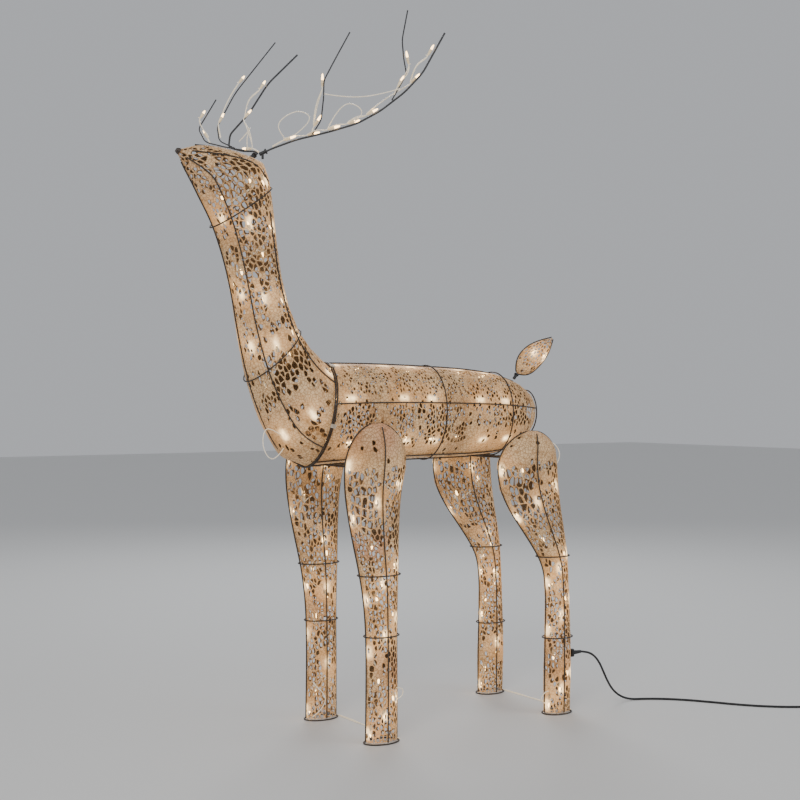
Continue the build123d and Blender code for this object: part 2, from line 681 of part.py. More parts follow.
EXIT = RELIEF_BASE + Vector(0, RELIEF_L + 0.4, 0)
COIL_CENTRE = at(474, 800, 0)
COIL_R = 29.0            # middle of the coil's turns
COIL_HALF_WIDE = 8.0
COIL_HIGH = 10.4
ENTER = Vector(-0.86, 0.51, 0).normalized()      # from the coil's centre to where the lead joins it
LEAD_ROUTE = [EXIT] + [at(*p) for p in (
    (125, 333, 128), (124.5, 353, 118), (123.5, 370, 101), (122, 384, 78), (121, 398, 53), (121, 415, 29),
    (124, 438, 11), (130, 464, LEAD_FLOOR), (143, 494, LEAD_FLOOR), (166, 529, LEAD_FLOOR),
    (203, 566, LEAD_FLOOR), (252, 600, LEAD_FLOOR), (305, 632, LEAD_FLOOR), (355, 672, LEAD_FLOOR),
    (396, 722, LEAD_FLOOR), (421, 770, LEAD_FLOOR))]
LEAD_ROUTE.append(COIL_CENTRE + ENTER * COIL_R + Vector(0, 0, LEAD_FLOOR))
TAIL_Z = 3 * LEAD_R + 0.1

lead_radii = route_radii(LEAD_ROUTE)
print("lead bend radii, mm:", [round(r) for r in lead_radii])
with BuildPart() as lead_tube:
    with BuildLine() as lead_route:
        FilletPolyline(*LEAD_ROUTE, radius=lead_radii)
    with BuildSketch(Plane(lead_route.line @ 0, z_dir=lead_route.line % 0)):
        Circle(LEAD_R)
    sweep()
    lead_length = lead_route.wire().length
    lead_volume = lead_tube.part.volume
    with Locations(Plane(COIL_CENTRE + Vector(0, COIL_R, TAIL_Z), z_dir=(1, 0, 0)).location):
        Cylinder(LEAD_R, 32, align=(Align.CENTER, Align.CENTER, Align.MIN))
print("lead tube, mm:", round(lead_length), "volume over section times length:",
      round(lead_volume / (math.pi * LEAD_R ** 2 * lead_length), 4))
lead_tube.part.label = "lead_tube"

with BuildPart() as lead_coil:
    with BuildSketch(Plane(COIL_CENTRE, x_dir=(1, 0, 0), z_dir=(0, -1, 0))):
        with Locations((COIL_R, COIL_HIGH / 2)):
            RectangleRounded(2 * COIL_HALF_WIDE, COIL_HIGH, 2.4)
    revolve(axis=Axis(COIL_CENTRE, (0, 0, 1)))
lead_coil.part.label = "lead_coil"

PLUG_START = COIL_CENTRE + Vector(32, COIL_R, TAIL_Z)
with BuildPart() as plug_body:
    with Locations(Plane(PLUG_START, z_dir=(1, 0, 0)).location):
        Cone(3.6, 5.4, 14, align=(Align.CENTER, Align.CENTER, Align.MIN))
    with Locations(PLUG_START + Vector(14, 0, 0)):
        Box(20, 25, 15, align=(Align.MIN, Align.CENTER, Align.CENTER))
    fillet(plug_body.edges().filter_by(Axis.X), 3)
plug_body.part.label = "plug_body"

BLADE_SPACING = 12.7
with BuildPart() as plug_blades:
    with Locations(*[PLUG_START + Vector(34, side * BLADE_SPACING / 2, 0) for side in (1, -1)]):
        Box(17, 1.5, 6.3, align=(Align.MIN, Align.CENTER, Align.CENTER))
plug_blades.part.label = "plug_blades"

# ---------------------------------------------------------------- write the pieces
PIECES = {
    "neck_head_skin": neck_head_skin.part, "neck_head_frame": neck_head_frame.part,
    "nose": nose.part, "antler_sockets": antler_sockets.part,
    "torso_skin": torso_skin.part, "torso_frame": torso_frame.part,
    "belly_bars": belly_bars.part, "leg_clips": leg_clips.part, "neck_clips": neck_clips.part,
    "tail_socket": tail_socket.part, "tail_stem": tail_stem.part,
    "tail_skin": tail_skin.part, "tail_frame": tail_frame.part,
    "lead_strain_relief": lead_strain_relief.part, "lead_tube": lead_tube.part,
    "lead_coil": lead_coil.part, "plug_body": plug_body.part, "plug_blades": plug_blades.part}
for name in LEGS:
    PIECES["leg_skin_" + name] = leg_skins[name]
    PIECES["leg_frame_" + name] = leg_frames[name]
for end in LEG_MIDDLE_Y:
    PIECES["leg_rails_" + end] = leg_rails[end]
    PIECES["foot_jumper_" + end] = jumpers[end]
for name in ANTLERS:
    PIECES["antler_frame_" + name] = antler_frames[name]
    PIECES["lamp_husks_antler_" + name] = antler_husks[name]
    PIECES["lamp_lenses_antler_" + name] = antler_lenses[name]
    PIECES["string_wire_antler_" + name] = antler_strings[name]
for name in POD_STRINGS:
    PIECES["lamp_husks_" + name] = husks[name]
    PIECES["lamp_lenses_" + name] = lenses[name]
    PIECES["string_wire_" + name] = strings[name]

for name, piece in PIECES.items():
    piece.label = name
    export_step(piece, "parts/" + name + ".step")
print("nodes:", len(PIECES))
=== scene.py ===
"""Light-up yard reindeer: web skins, lamps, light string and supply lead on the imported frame, in metres."""
import bpy
import json
import math
import random
import numpy as np
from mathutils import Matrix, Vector
from mathutils.geometry import delaunay_2d_cdt


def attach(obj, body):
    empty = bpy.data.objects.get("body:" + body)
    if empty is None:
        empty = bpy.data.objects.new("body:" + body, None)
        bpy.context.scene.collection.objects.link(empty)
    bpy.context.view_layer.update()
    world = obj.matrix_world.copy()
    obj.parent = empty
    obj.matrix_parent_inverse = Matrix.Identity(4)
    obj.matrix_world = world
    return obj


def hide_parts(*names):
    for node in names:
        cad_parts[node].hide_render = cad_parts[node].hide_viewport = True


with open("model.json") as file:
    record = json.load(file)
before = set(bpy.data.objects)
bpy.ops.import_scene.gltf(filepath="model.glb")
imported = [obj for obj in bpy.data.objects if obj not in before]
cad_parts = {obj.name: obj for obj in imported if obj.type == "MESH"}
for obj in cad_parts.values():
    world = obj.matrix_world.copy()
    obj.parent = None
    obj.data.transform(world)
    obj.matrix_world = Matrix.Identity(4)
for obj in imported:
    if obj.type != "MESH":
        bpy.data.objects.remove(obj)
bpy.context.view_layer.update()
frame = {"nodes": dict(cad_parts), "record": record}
NODES = frame["nodes"]

Y_SHIFT = 157.4          # mm from the middle of the stance to the frame's origin
HALF_TRACK = 125         # mm from the middle plane to each leg's middle
MM = 0.001


def at(x, y, z):
    """A point given in mm from the stance centre, in the part's own frame, in metres."""
    return Vector((x * MM, (y + Y_SHIFT) * MM, z * MM))


# ---------------------------------------------------------------- camera
camera_data = bpy.data.cameras.new("camera")
camera_data.lens = 59.36
camera_data.sensor_width = 36
camera = bpy.data.objects.new("camera", camera_data)
camera.location = at(2436.5, -1718.4, 712)      # level, and off the near front leg
camera.rotation_euler = (math.radians(90), 0, math.radians(56.5))
bpy.context.collection.objects.link(camera)
bpy.context.scene.camera = camera


# ---------------------------------------------------------------- materials
def principled(name, colour, roughness, metallic=0.0, coat=0.0):
    mat = bpy.data.materials.new(name)
    mat.use_nodes = True
    shader = mat.node_tree.nodes["Principled BSDF"]
    shader.inputs["Base Color"].default_value = (*colour, 1)
    shader.inputs["Roughness"].default_value = roughness
    shader.inputs["Metallic"].default_value = metallic
    shader.inputs["Coat Weight"].default_value = coat
    return mat, shader


def speckled(mat, shader, colour, other, scale, low, high, bump=0.0, bump_distance=0.0003):
    """Noise that mixes two colours over the surface, with a matching bump."""
    tree = mat.node_tree
    place = tree.nodes.new("ShaderNodeTexCoord")
    noise = tree.nodes.new("ShaderNodeTexNoise")
    noise.inputs["Scale"].default_value = scale
    noise.inputs["Detail"].default_value = 4
    ramp = tree.nodes.new("ShaderNodeValToRGB")
    ramp.color_ramp.elements[0].position = low
    ramp.color_ramp.elements[1].position = high
    ramp.color_ramp.elements[0].color = (*colour, 1)
    ramp.color_ramp.elements[1].color = (*other, 1)
    tree.links.new(place.outputs["Object"], noise.inputs["Vector"])
    tree.links.new(noise.outputs["Fac"], ramp.inputs["Fac"])
    tree.links.new(ramp.outputs["Color"], shader.inputs["Base Color"])
    if bump:
        lift = tree.nodes.new("ShaderNodeBump")
        lift.inputs["Strength"].default_value = bump
        lift.inputs["Distance"].default_value = bump_distance
        tree.links.new(noise.outputs["Fac"], lift.inputs["Height"])
        tree.links.new(lift.outputs["Normal"], shader.inputs["Normal"])


def web_material():
    """Spun thread: fine crackle over a tan that varies by vertex and carries painted shade, with the lamps'
    light coming through it.
    """
    mat, shader = principled("web_skin", (0.74, 0.50, 0.28), 0.62)
    tree = mat.node_tree
    place = tree.nodes.new("ShaderNodeTexCoord")
    cells = tree.nodes.new("ShaderNodeTexVoronoi")
    cells.feature = "DISTANCE_TO_EDGE"
    cells.inputs["Scale"].default_value = 150
    ramp = tree.nodes.new("ShaderNodeValToRGB")
    ramp.color_ramp.elements[0].position = 0.0
    ramp.color_ramp.elements[0].color = (0.34, 0.23, 0.15, 1)
    ramp.color_ramp.elements[1].position = 0.13
    ramp.color_ramp.elements[1].color = (1, 1, 1, 1)
    tint_and_shade = tree.nodes.new("ShaderNodeVertexColor")
    tint_and_shade.layer_name = "Tint"
    glow = tree.nodes.new("ShaderNodeVertexColor")
    glow.layer_name = "Glow"
    mix = tree.nodes.new("ShaderNodeMix")
    mix.data_type = "RGBA"
    mix.blend_type = "MULTIPLY"
    mix.inputs["Factor"].default_value = 1.0
    links = tree.links
    links.new(place.outputs["Object"], cells.inputs["Vector"])
    links.new(cells.outputs["Distance"], ramp.inputs["Fac"])
    links.new(tint_and_shade.outputs["Color"], mix.inputs[6])
    links.new(ramp.outputs["Color"], mix.inputs[7])
    links.new(mix.outputs[2], shader.inputs["Base Color"])
    links.new(glow.outputs["Color"], shader.inputs["Emission Color"])
    shader.inputs["Emission Strength"].default_value = 1.0
    lift = tree.nodes.new("ShaderNodeBump")
    lift.inputs["Strength"].default_value = 0.6
    lift.inputs["Distance"].default_value = 0.0004
    links.new(ramp.outputs["Color"], lift.inputs["Height"])
    links.new(lift.outputs["Normal"], shader.inputs["Normal"])
    return mat


MATS = {"web_skin": web_material()}
MATS["frame_wire"], s = principled("frame_wire", (0.055, 0.040, 0.028), 0.45)
speckled(MATS["frame_wire"], s, (0.060, 0.042, 0.028), (0.022, 0.016, 0.012), 160, 0.35, 0.7, 0.3)
MATS["antler_wire"], s = principled("antler_wire", (0.045, 0.045, 0.048), 0.42)
speckled(MATS["antler_wire"], s, (0.060, 0.060, 0.064), (0.020, 0.020, 0.022), 160, 0.35, 0.7, 0.3)
MATS["husk_plastic"], s = principled("husk_plastic", (0.80, 0.70, 0.50), 0.45)
speckled(MATS["husk_plastic"], s, (0.84, 0.74, 0.54), (0.66, 0.54, 0.36), 260, 0.35, 0.7, 0.25)
# painted light: the husks glow faintly with the lamps' warm light
s.inputs["Emission Color"].default_value = (1.0, 0.70, 0.36, 1)
s.inputs["Emission Strength"].default_value = 0.35
MATS["lamp_lens"], s = principled("lamp_lens", (1.0, 0.72, 0.36), 0.15)
speckled(MATS["lamp_lens"], s, (1.0, 0.76, 0.42), (0.94, 0.62, 0.28), 320, 0.3, 0.7, 0.15)
s.inputs["Emission Color"].default_value = (1.0, 0.66, 0.30, 1)
s.inputs["Emission Strength"].default_value = 7.0
MATS["string_pvc"], s = principled("string_pvc", (0.88, 0.80, 0.66), 0.32, coat=0.2)
speckled(MATS["string_pvc"], s, (0.90, 0.83, 0.70), (0.74, 0.64, 0.48), 140, 0.35, 0.75, 0.2)
# painted light: the string's wires glow faintly, for the lamps' light falling on them
s.inputs["Emission Color"].default_value = (1.0, 0.82, 0.56, 1)
s.inputs["Emission Strength"].default_value = 0.32
MATS["lead_rubber"], s = principled("lead_rubber", (0.012, 0.012, 0.013), 0.5)
speckled(MATS["lead_rubber"], s, (0.016, 0.016, 0.017), (0.008, 0.008, 0.009), 120, 0.3, 0.7)
MATS["blade_brass"], s = principled("blade_brass", (0.78, 0.57, 0.24), 0.28, metallic=1.0)
speckled(MATS["blade_brass"], s, (0.80, 0.60, 0.27), (0.60, 0.40, 0.15), 220, 0.4, 0.75, 0.2, 0.0001)
MATS["clip_plastic"], s = principled("clip_plastic", (0.62, 0.54, 0.42), 0.42)
speckled(MATS["clip_plastic"], s, (0.66, 0.58, 0.46), (0.48, 0.40, 0.30), 200, 0.35, 0.7, 0.2)
MATS["socket_plastic"], s = principled("socket_plastic", (0.03, 0.03, 0.032), 0.5)
speckled(MATS["socket_plastic"], s, (0.034, 0.034, 0.036), (0.016, 0.016, 0.017), 240, 0.35, 0.7, 0.3)
MATS["nose_plastic"], s = principled("nose_plastic", (0.050, 0.030, 0.020), 0.4)
speckled(MATS["nose_plastic"], s, (0.055, 0.034, 0.022), (0.030, 0.018, 0.012), 90, 0.35, 0.7, 0.2)
SLOT_OF = {entry["node"]: entry["material_slot"] for entry in frame["record"]["subparts"]}
for node, obj in NODES.items():
    obj.data.materials.clear()
    obj.data.materials.append(MATS[SLOT_OF[node]])


def mesh_piece(name, verts, faces, slot, body, smooth=True):
    mesh = bpy.data.meshes.new(name)
    mesh.from_pydata([tuple(v) for v in verts], [], faces)
    mesh.update()
    if smooth:
        mesh.polygons.foreach_set("use_smooth", [True] * len(mesh.polygons))
    obj = bpy.data.objects.new(name, mesh)
    bpy.context.collection.objects.link(obj)
    mesh.materials.append(MATS[slot])
    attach(obj, body)
    return obj


# ---------------------------------------------------------------- supply lead: a free cord with its coil
LEAD_R = 2.5
RELIEF_Y = 242 + 36 + 2.1 + 1.5 + 0.02 + 0.5     # leg's rear edge, foot ring's gap, wire and clearances
RELIEF_LENGTH = 30.4
EXIT = at(HALF_TRACK, RELIEF_Y + RELIEF_LENGTH, 131)
LEAD_FLOOR = LEAD_R + 0.1
ROUTE = [EXIT] + [at(*p) for p in (
    (125, 333, 128), (124.5, 353, 118), (123.5, 370, 101), (122, 384, 78), (121, 398, 53), (121, 415, 29),
    (124, 438, 11), (130, 464, LEAD_FLOOR), (143, 494, LEAD_FLOOR), (166, 529, LEAD_FLOOR),
    (203, 566, LEAD_FLOOR), (252, 600, LEAD_FLOOR), (305, 632, LEAD_FLOOR), (355, 672, LEAD_FLOOR),
    (396, 722, LEAD_FLOOR), (421, 770, LEAD_FLOOR))]
COIL_CENTRE = (474, 800)
COIL_R = 29.0                            # middle of the coil's turns
COIL_ROWS = (1, 0, -1, -1, 0, 1)         # each turn's place across: three on the floor, three on top
COIL_TURNS = len(COIL_ROWS)
FIRST = math.atan2(0.51, -0.86)          # angle at which the lead joins the coil
COIL_SWEEP = FIRST - math.pi / 2 + 2 * COIL_TURNS * math.pi
TURN_POINTS = 16
STEP_ACROSS = 5.3
STEP_UP = 5.1
STEP_SHARE = 1 / 9                       # share of a turn spent stepping to the next place


def eased(x):
    """0 to 1, slow at both ends."""
    x = min(max(x, 0.0), 1.0)
    return x * x * (3 - 2 * x)


def coil_points():
    """The coil's turns, clockwise: each steps to the next one's place over its last share."""
    points = []
    count = round(TURN_POINTS * COIL_SWEEP / (2 * math.pi))
    widen = 1 / (0.75 + 0.25 * math.cos(2 * math.pi / TURN_POINTS))     # the spline cuts inside its points
    for i in range(1, count + 1):
        place = COIL_TURNS * i / count
        turn = min(int(place), COIL_TURNS - 1)
        following = min(turn + 1, COIL_TURNS - 1)
        step = eased((place - turn - 1 + STEP_SHARE) / STEP_SHARE)
        row = COIL_ROWS[turn] + (COIL_ROWS[following] - COIL_ROWS[turn]) * step
        level = (turn > 2) + ((following > 2) - (turn > 2)) * step          # the last three lie on the first
        radius = (COIL_R + STEP_ACROSS * row) * widen
        a = FIRST - COIL_SWEEP * i / count
        points.append(at(COIL_CENTRE[0] + radius * math.cos(a), COIL_CENTRE[1] + radius * math.sin(a),
                         LEAD_FLOOR + STEP_UP * level))
    return points


def nurbs(name, lines, radius, body, slot, replaced, sides=3, steps=4, closed=False):
    """Round wires along smooth curves with these lists of control points."""
    data = bpy.data.curves.new(name, "CURVE")
    data.dimensions = "3D"
    data.bevel_depth = radius
    data.bevel_resolution = sides
    data.resolution_u = steps
    for points in lines:
        spline = data.splines.new("NURBS")
        spline.points.add(len(points) - 1)
        for p, co in zip(spline.points, points):
            p.co = (*co, 1)
        spline.order_u = 3
        spline.use_endpoint_u = not closed
        spline.use_cyclic_u = closed
    obj = bpy.data.objects.new(name, data)
    bpy.context.collection.objects.link(obj)
    data.materials.append(MATS[slot])
    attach(obj, body)
    if replaced:
        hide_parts(*replaced)
    return obj


TAIL_POINTS = [at(482, 834.0, 7.7), at(492, 833.0, 7.6), at(500, 830.0, 7.6), at(506, 829.0, 7.6)]
lead = nurbs("supply_lead", [ROUTE + coil_points() + TAIL_POINTS], LEAD_R * MM, "rear_legs", "lead_rubber",
             ("lead_tube", "lead_coil"), sides=5, steps=6)


# ---------------------------------------------------------------- sections of the pods, as in the part
class Station:
    """An elliptical section: its centre, two directions and half sizes, in metres."""

    def __init__(self, centre, along, half_along, across, half_across):
        self.centre = centre
        self.along = along
        self.half_along = half_along
        self.across = across
        self.half_across = half_across

    def rim(self, degrees, gap):
        a = math.radians(degrees)
        return (self.centre + self.along * ((self.half_along + gap) * math.cos(a))
                + self.across * ((self.half_across + gap) * math.sin(a)))


def sagittal_station(top, bottom, half_width):
    a = at(0, *top)
    b = at(0, *bottom)
    return Station((a + b) / 2, (a - b).normalized(), (a - b).length / 2, Vector((1, 0, 0)), half_width * MM)


def leg_station(side, z, centre_y, half_y, half_x):
    return Station(at(side * HALF_TRACK, centre_y, z), Vector((0, -1, 0)), half_y * MM,
                   Vector((side, 0, 0)), half_x * MM)


def between(s, t, f):
    return Station(s.centre.lerp(t.centre, f), s.along.lerp(t.along, f).normalized(),
                   s.half_along * (1 - f) + t.half_along * f, s.across.lerp(t.across, f).normalized(),
                   s.half_across * (1 - f) + t.half_across * f)


def along_pod(stations, f):
    lengths = [(t.centre - s.centre).length for s, t in zip(stations, stations[1:])]
    left = f * sum(lengths)
    for s, t, length in zip(stations, stations[1:], lengths):
        if left <= length:
            return between(s, t, left / length)
        left -= length
    return stations[-1]


NECK = [sagittal_station(*s) for s in (
    ((-304, 790), (-349, 572), 83), ((-322, 806), (-399, 590), 80), ((-342, 824), (-446, 662), 70),
    ((-368, 858), (-481, 752), 58), ((-390, 908), (-503, 845), 50), ((-407, 970), (-517, 925), 46),
    ((-417, 1035), (-534, 995), 46), ((-425, 1105), (-561, 1070), 48), ((-434, 1165), (-589, 1118), 49),
    ((-447, 1203), (-604, 1145), 46), ((-502, 1219), (-614, 1162), 38), ((-555, 1226), (-622, 1175), 28),
    ((-600, 1224), (-629, 1188), 18), ((-628, 1214), (-637, 1201), 8))]
TORSO = [sagittal_station(*s) for s in (
    ((-299, 790), (-344, 572), 83), ((-240, 791), (-262, 577), 87), ((-140, 790), (-150, 580), 88),
    ((-39, 787), (-45, 582), 88), ((60, 783), (60, 583), 87), ((150, 774), (146, 588), 80),
    ((212, 755), (208, 604), 64), ((248, 733), (246, 632), 42), ((266, 708), (265, 664), 18))]
TAIL = [sagittal_station(*s) for s in (
    ((222, 778), (229, 773), 4), ((220, 797), (248, 770), 12), ((233, 822), (272, 778), 17),
    ((260, 842), (303, 803), 16), ((296, 855), (324, 830), 10), ((330, 862), (334, 858), 2.5))]
FRONT_LEG_PROFILE = (
    (5, -235, 38, 25), (140, -234, 37, 25), (222, -235, 37, 25), (291, -237, 40, 27), (349, -241, 46, 29),
    (435, -251, 57, 33), (516, -256, 67, 36), (570, -250, 74, 36), (606, -246, 71, 33), (636, -245, 55, 27),
    (656, -245, 32, 18), (663, -245, 14, 10))
REAR_LEG_PROFILE = (
    (5, 240, 35, 25), (90, 241, 37, 25), (173, 242, 35, 25), (263, 241, 32, 24), (322, 237, 33, 24),
    (358, 228, 40, 26), (409, 205, 55, 29), (465, 177, 72, 33), (515, 159, 82, 35), (570, 154, 84, 34),
    (602, 160, 74, 30), (622, 164, 56, 24), (636, 167, 33, 17), (642, 168, 14, 10))
LEGS = {end + "_" + name: [leg_station(side, *row) for row in profile]
        for end, profile in (("front", FRONT_LEG_PROFILE), ("rear", REAR_LEG_PROFILE))
        for name, side in (("left", 1), ("right", -1))}

# ---------------------------------------------------------------- lamp places, as in the part
LAMP_INSET = -9.0 * MM
STRING_INSET = LAMP_INSET - 4.7 * MM     # the string, behind the lamps
HEADING_STEP = 0.02                      # share of the pod's length over which a lamp's axis is taken


def helix_turns(columns, count, first, last):
    """Lamps going round and along a pod: share of its length, degrees round it, and which way they point."""
    turns = []
    for i in range(count):
        place = first + (last - first) * i / (count - 1)
        turns.append((place, columns[i % len(columns)], 1 if (i // len(columns)) % 2 else -1))
    return turns


def lamp_frames(stations, turns):
    frames = []
    for place, column, heading in turns:
        base = along_pod(stations, place).rim(column, LAMP_INSET)
        ahead = along_pod(stations, place + HEADING_STEP * heading).rim(column, LAMP_INSET)
        frames.append((base, (ahead - base).normalized()))
    return frames


NECK_TURNS = helix_turns((40, 100, 150, -150, -100, -40), 25, 0.05, 0.80)
TORSO_TURNS = helix_turns((12, 72, 128, -128, -72, -12), 28, 0.06, 0.85)
LEG_TURNS = helix_turns((8, 80, 142, -95), 17, 0.05, 0.89)
TAIL_TURNS = [(0.34, 60, 1), (0.40, -110, 1), (0.47, 150, 1)]
POD_STRINGS = {
    "neck": [(NECK, NECK_TURNS)],
    "torso": [(TORSO, TORSO_TURNS)],
    "front_legs": [(LEGS["front_left"], LEG_TURNS), (LEGS["front_right"], LEG_TURNS)],
    "rear_legs": [(LEGS["rear_left"], LEG_TURNS), (LEGS["rear_right"], LEG_TURNS)],
    "tail": [(TAIL, TAIL_TURNS)]}
GROUP_BODY = {"neck": "neck_head", "torso": "torso", "front_legs": "front_legs", "rear_legs": "rear_legs",
              "tail": "tail", "antler_left": "antler_left", "antler_right": "antler_right"}

LEFT_MOUTH = at(27, -452, 1223)
RIGHT_MOUTH = at(-27, -452, 1223)
LEFT_STEM = Vector((0.42, 0.80, 0.43)).normalized()
RIGHT_STEM = Vector((-0.42, 0.80, 0.43)).normalized()
BEAM_R = 2.0 * MM
TINE_R = 1.4 * MM
LAMP_STAND_OFF = BEAM_R + 6.2 * MM


STEM_HALF = 14 * MM                      # a beam's foot goes this far into its socket, and as far out


def beam_route(mouth, stem, rest):
    return [mouth - stem * STEM_HALF, mouth + stem * STEM_HALF] + [at(*p) for p in rest]


def tine_route(beam, run, rest):
    """A tine that starts beside the middle of one of its beam's runs."""
    middle = (beam[run] + beam[run + 1]) / 2
    course = (beam[run + 1] - beam[run]).normalized()
    towards = at(*rest[0]) - middle
    side = (towards - course * towards.dot(course)).normalized()
    return [middle + side * (BEAM_R + 0.75 * TINE_R)] + [at(*p) for p in rest]


LEFT_BEAM = beam_route(LEFT_MOUTH, LEFT_STEM, (
    (62, -402, 1246), (100, -346, 1262), (130, -296, 1280), (152, -254, 1307),
    (172, -208, 1347), (188, -174, 1388), (203.5, -129, 1474)))
LEFT_BROW = tine_route(LEFT_BEAM, 2, (
    (98, -364, 1284), (122, -372, 1326), (135, -379, 1356), (148, -362, 1396), (165, -336, 1453)))
LEFT_CROWN = tine_route(LEFT_BEAM, 5, (
    (176, -206, 1384), (185, -219, 1412), (191, -227, 1448), (204, -222, 1506)))
RIGHT_BEAM = beam_route(RIGHT_MOUTH, RIGHT_STEM, (
    (-52, -440, 1236), (-82, -452, 1240), (-108, -472, 1250), (-121, -462, 1281),
    (-130, -412, 1334), (-150, -356, 1409), (-190, -260, 1495)))
RIGHT_BROW = tine_route(RIGHT_BEAM, 2, (
    (-82, -488, 1244), (-104, -528, 1254), (-136, -529, 1288), (-160, -491, 1337), (-170, -472, 1363)))
RIGHT_CROWN = tine_route(RIGHT_BEAM, 3, (
    (-112, -492, 1262), (-126, -490, 1295), (-142, -440, 1376), (-204, -309, 1519)))
ANTLERS = {"left": (LEFT_BEAM, LEFT_BROW, LEFT_CROWN), "right": (RIGHT_BEAM, RIGHT_BROW, RIGHT_CROWN)}
ANTLER_LAMPS = {
    "left": ((0, 0.12, 40), (0, 0.22, -50), (0, 0.31, 60), (0, 0.40, -40), (0, 0.49, 50), (0, 0.74, -60),
             (0, 0.88, 0), (1, 0.08, -20), (1, 0.46, 20), (2, 0.16, 70), (2, 0.44, -50)),
    "right": ((0, 0.14, 40), (0, 0.45, 60), (0, 0.66, -40), (1, 0.44, 60), (1, 0.72, -50), (2, 0.22, 50),
              (2, 0.56, -60))}


def beside_route(points, fraction, turn, distance):
    """Point beside a wire, turned about the wire from straight up, and the wire's course there."""
    lengths = [(q - p).length for p, q in zip(points, points[1:])]
    left = fraction * sum(lengths)
    for p, q, length in zip(points, points[1:], lengths):
        if left <= length:
            break
        left -= length
    course = (q - p).normalized()
    place = p + course * min(left, length)
    up = (Vector((0, 0, 1)) - course * course.z).normalized()
    over = course.cross(up)
    a = math.radians(turn)
    return place + (up * math.cos(a) + over * math.sin(a)) * distance, course


LAMPS = {name: [lamp for stations, turns in pods for lamp in lamp_frames(stations, turns)]
         for name, pods in POD_STRINGS.items()}
for name, wires in ANTLERS.items():
    LAMPS["antler_" + name] = [beside_route(wires[w], f, turn, LAMP_STAND_OFF)
                               for w, f, turn in ANTLER_LAMPS[name]]


# ---------------------------------------------------------------- lamps
def turned(profile, sides, frames, name, slot, body, replaced):
    """One profile (radius, distance along the axis), turned round each lamp's axis."""
    verts = []
    faces = []
    for base, axis in frames:
        u = axis.orthogonal().normalized()
        v = axis.cross(u)
        first = len(verts)
        for radius, along in profile:
            for k in range(sides):
                a = 2 * math.pi * k / sides
                verts.append(base + axis * (along * MM) + (u * math.cos(a) + v * math.sin(a)) * (radius * MM))
        for ring in range(len(profile) - 1):
            for k in range(sides):
                a = first + ring * sides + k
                b = first + ring * sides + (k + 1) % sides
                faces.append((a, b, b + sides, a + sides))
        faces.append([first + k for k in reversed(range(sides))])
        faces.append([first + (len(profile) - 1) * sides + k for k in range(sides)])
    obj = mesh_piece(name, verts, faces, slot, body)
    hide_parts(replaced)
    return obj


# each profile point is a radius and a place along the lamp's axis, in mm
HUSK_PROFILE = ((1.2, -2.0), (1.9, -1.6), (2.1, 0.2), (2.5, 0.8), (2.6, 5.2), (3.1, 5.6), (3.2, 6.6),
                (2.8, 7.2), (2.8, 10.2), (3.2, 10.5), (3.2, 11.4), (2.6, 11.6))
LENS_PROFILE = ((2.5, 11.2), (2.5, 15.0), (2.3, 18.0), (1.9, 20.5), (1.5, 22.2), (0.9, 23.5), (0.3, 24.0))
LAMP_SIDES = 12
for name, frames in LAMPS.items():
    for profile, piece, slot in ((HUSK_PROFILE, "husks_", "husk_plastic"),
                                 (LENS_PROFILE, "lenses_", "lamp_lens")):
        turned(profile, LAMP_SIDES, frames, piece + name, slot, GROUP_BODY[name], "lamp_" + piece + name)


# ---------------------------------------------------------------- spun web skins
AROUND = 144             # samples round a section
ALONG_STEP = 4 * MM      # samples along a pod
WEB_INSET = 1.9 * MM     # middle of the web's threads, inside the sections' rims
THREAD_HALF_DEPTH = 0.7 * MM
INSIDE_PAINTED_SHADE = 0.25            # painted shade of the web's inner side, so that its holes read dark
HOLE_RIM_PAINTED_SHADE = 0.60          # painted shade of the threads' middle, at the rims of the holes
RUN = 4.2 * MM           # longest run of a thread between two of its points
SPACING = 1.0


def noise_at(points, scale, seed):
    """Smooth noise from a few crossed waves, about -1 to 1, at rows of points."""
    rng = np.random.default_rng(seed)
    total = np.zeros(len(points))
    for _ in range(6):
        wave = rng.normal(size=3)
        wave *= scale * rng.uniform(0.6, 1.5) / np.linalg.norm(wave)
        total += np.sin(points @ wave + rng.uniform(0, 6.3))
    return total / 2.6


